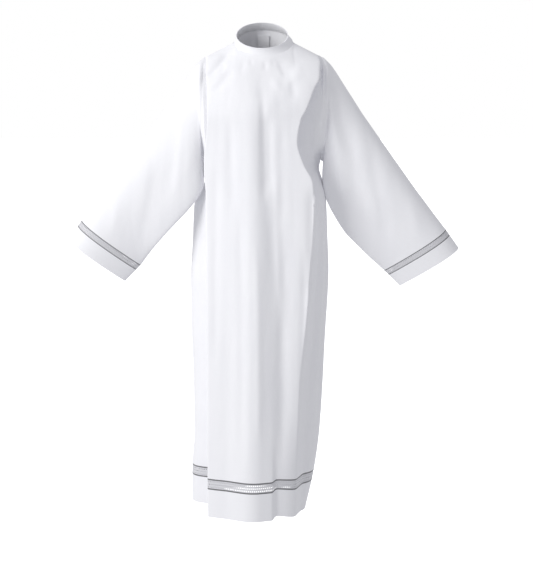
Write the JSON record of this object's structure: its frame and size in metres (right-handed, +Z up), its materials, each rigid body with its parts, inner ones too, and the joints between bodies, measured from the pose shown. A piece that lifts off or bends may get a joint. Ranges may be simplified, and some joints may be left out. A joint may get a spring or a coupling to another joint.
{
  "type": "alb robe",
  "caption": "Long white closed-front alb with a stand collar, wide sleeves, deep pleats and grey openwork bands near the hem and cuffs, in its worn form.",
  "frame": {"origin": "middle of the base of the neck, level with the inner ends of the shoulder seams, where the wearer's shoulders hold the alb", "axes": "+Z up, -Y the front, +X towards the wearer's left"},
  "size_m": [1.171, 0.3791, 1.4673],
  "materials": {
    "cloth": "matt white cotton blend in a plain weave",
    "openwork": "grey openwork insertion, hem-stitched along both edges"
  },
  "bodies": {
    "root": {"front": "cloth", "back_left": "cloth", "back_right": "cloth", "back_placket": "cloth", "sleeve_left": "cloth", "sleeve_right": "cloth", "collar": "cloth", "hem_border_front": "cloth", "hem_border_back": "cloth", "cuff_border_left": "cloth", "cuff_border_right": "cloth", "hem_band_front": "openwork", "hem_band_back": "openwork", "cuff_band_left": "openwork", "cuff_band_right": "openwork"}
  },
  "joints": []
}
